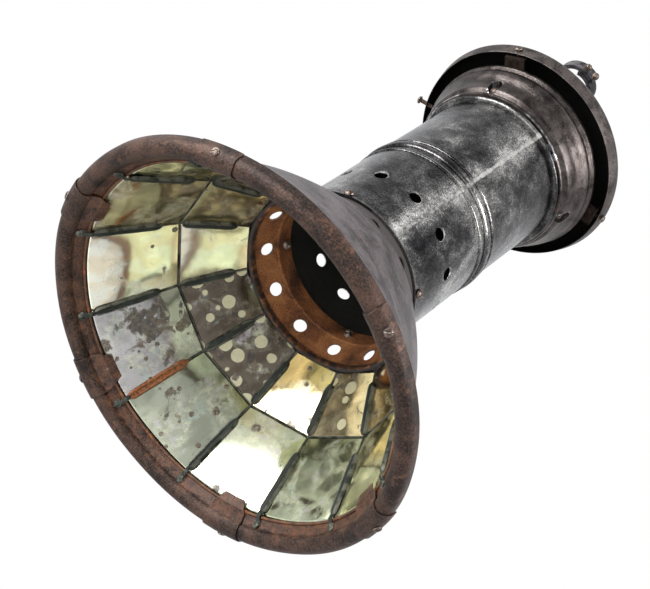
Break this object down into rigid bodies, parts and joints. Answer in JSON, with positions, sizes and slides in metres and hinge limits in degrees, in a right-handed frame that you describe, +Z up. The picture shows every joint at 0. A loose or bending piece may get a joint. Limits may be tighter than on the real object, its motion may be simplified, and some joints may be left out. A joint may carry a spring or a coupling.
{
  "type": "carbide lamp",
  "caption": "Hanging acetylene (carbide) lamp head: faceted mirror bell, vented tube, smoke hood, gas cock, burner and swinging hanging loop.",
  "frame": {"origin": "centre of the mouth, on the plane the lamp stands on, which is that of its six rim clips' level flats", "axes": "+Z up along the lamp's axis, mouth down and hanging loop up; +Y is the side of the gas arm and hose nozzle; -Y is the side of the tube's solder seam"},
  "size_m": [0.381, 0.381, 0.57],
  "materials": {
    "rusty_iron": "dark brown rust, pitted",
    "mirror_glass": "old silvered glass, yellow-green, desilvered in spots",
    "came_strip": "dark green-black paint, some rust",
    "bell_iron": "rough purple-brown patina",
    "collar_rust": "even orange rust",
    "gunmetal_tube": "rubbed gunmetal with cloudy bright patches",
    "dark_cast": "dark brown gunmetal, polished on high spots",
    "loop_strap": "dark grey, waxed",
    "screw_steel": "worn steel with rust in the slots",
    "old_brass": "dull, darkened brass",
    "steatite": "matt fired soapstone, sooted"
  },
  "bodies": {
    "lamp": {"bell_shell": "bell_iron", "burner": "steatite", "came_frame": "came_strip", "cock_body": "old_brass", "collar_bolt_01": "screw_steel", "collar_bolt_02": "screw_steel", "collar_bolt_03": "screw_steel", "collar_bolt_04": "screw_steel", "gas_pipe": "old_brass", "glass_ring": "rusty_iron", "head_fitting": "dark_cast", "hood": "dark_cast", "hood_screw_01": "screw_steel", "hood_screw_02": "screw_steel", "hood_screw_03": "screw_steel", "hood_set_screw": "screw_steel", "loop_pin": "screw_steel", "mirror_inner_01": "mirror_glass", "mirror_inner_02": "mirror_glass", "mirror_inner_03": "mirror_glass", "mirror_inner_04": "mirror_glass", "mirror_inner_05": "mirror_glass", "mirror_inner_06": "mirror_glass", "mirror_inner_07": "mirror_glass", "mirror_inner_08": "mirror_glass", "mirror_inner_09": "mirror_glass", "mirror_inner_10": "mirror_glass", "mirror_inner_11": "mirror_glass", "mirror_inner_12": "mirror_glass", "mirror_outer_01": "mirror_glass", "mirror_outer_02": "mirror_glass", "mirror_outer_03": "mirror_glass", "mirror_outer_04": "mirror_glass", "mirror_outer_05": "mirror_glass", "mirror_outer_06": "mirror_glass", "mirror_outer_07": "mirror_glass", "mirror_outer_08": "mirror_glass", "mirror_outer_09": "mirror_glass", "mirror_outer_10": "mirror_glass", "mirror_outer_11": "mirror_glass", "mirror_outer_12": "mirror_glass", "rim_clip_01": "rusty_iron", "rim_clip_02": "rusty_iron", "rim_clip_03": "rusty_iron", "rim_clip_04": "rusty_iron", "rim_clip_05": "rusty_iron", "rim_clip_06": "rusty_iron", "rim_ring": "rusty_iron", "shoulder": "dark_cast", "shoulder_screw_01": "screw_steel", "shoulder_screw_02": "screw_steel", "shoulder_screw_03": "screw_steel", "tube_lower": "gunmetal_tube", "tube_upper": "gunmetal_tube", "vent_collar": "collar_rust"},
    "hanging_loop": {"loop_screw_01": "screw_steel", "loop_screw_02": "screw_steel", "loop_strap_left": "loop_strap", "loop_strap_right": "loop_strap"},
    "cock_key": {"cock_key": "old_brass"}
  },
  "joints": [
    {"name": "loop_swing", "type": "hinge", "parent": "lamp", "child": "hanging_loop", "pos_m": [0, 0, 0.56149], "axis": [-0.9336, 0.3584, 0], "range_deg": [-30, 168]},
    {"name": "cock_turn", "type": "hinge", "parent": "lamp", "child": "cock_key", "pos_m": [0, 0.046, 0.52849], "axis": [0, 0, 1], "range_deg": [0, 90]}
  ]
}
